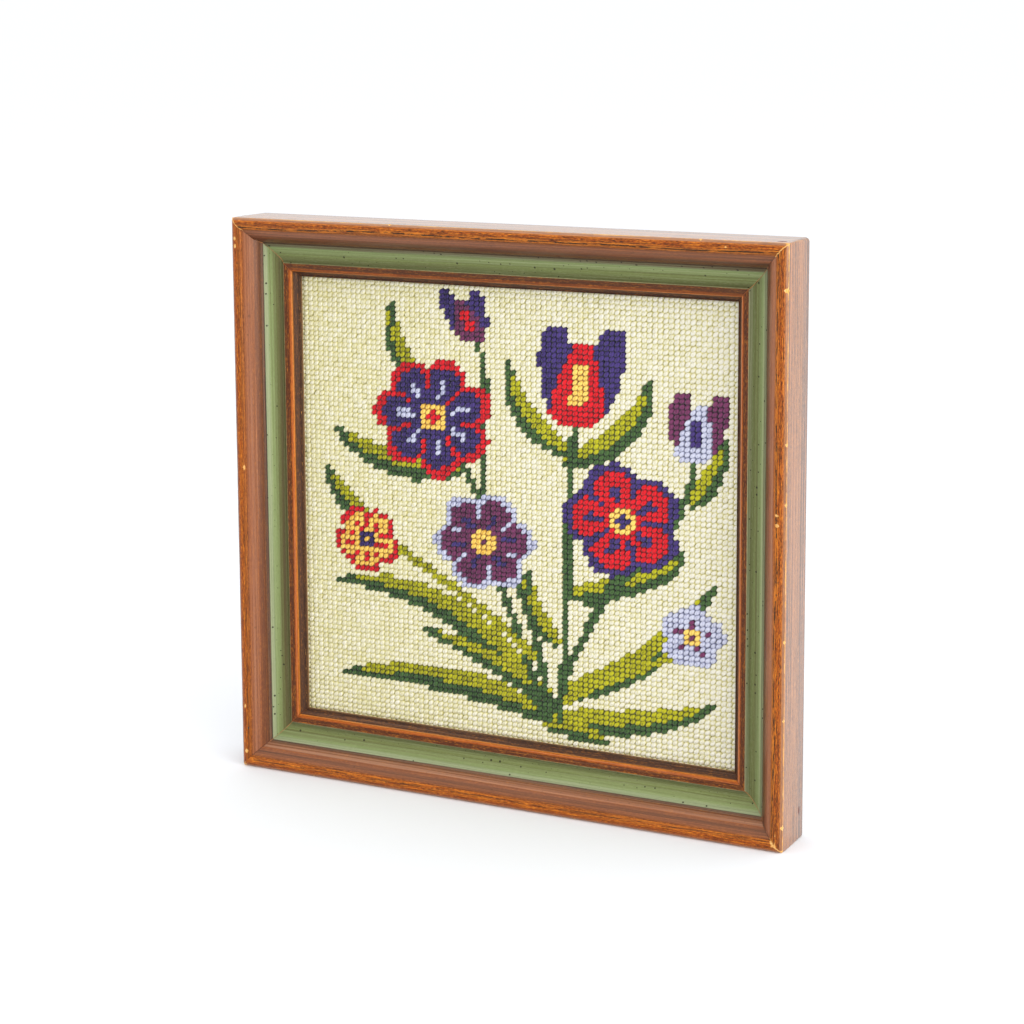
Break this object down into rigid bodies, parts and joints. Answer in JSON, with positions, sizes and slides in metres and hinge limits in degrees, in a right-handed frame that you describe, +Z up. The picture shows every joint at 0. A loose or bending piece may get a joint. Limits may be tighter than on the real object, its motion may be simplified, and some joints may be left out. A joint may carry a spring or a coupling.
{
  "type": "framed needlepoint canvas panel",
  "caption": "Stitched flower needlepoint on canvas, set in a stained and painted wooden picture frame that stands on its lower rail.",
  "frame": {"origin": "bottom centre of the whole: middle of the width and depth, on the surface that the lower rail stands on", "axes": "+X across the panel, +Y from the stitched face towards the back, +Z up"},
  "size_m": [0.27, 0.028, 0.26],
  "materials": {
    "moulding": "orange-brown stain with worn edges, a sage green painted hollow and a satin wax",
    "stitching": "matt wool tent stitches, cream ground with coloured flowers",
    "board": "plain matt grey-brown pulp board"
  },
  "bodies": {
    "root": {"frame_bottom": "moulding", "frame_top": "moulding", "frame_left": "moulding", "frame_right": "moulding", "needlepoint_canvas": "stitching", "backing_board": "board"}
  },
  "joints": []
}
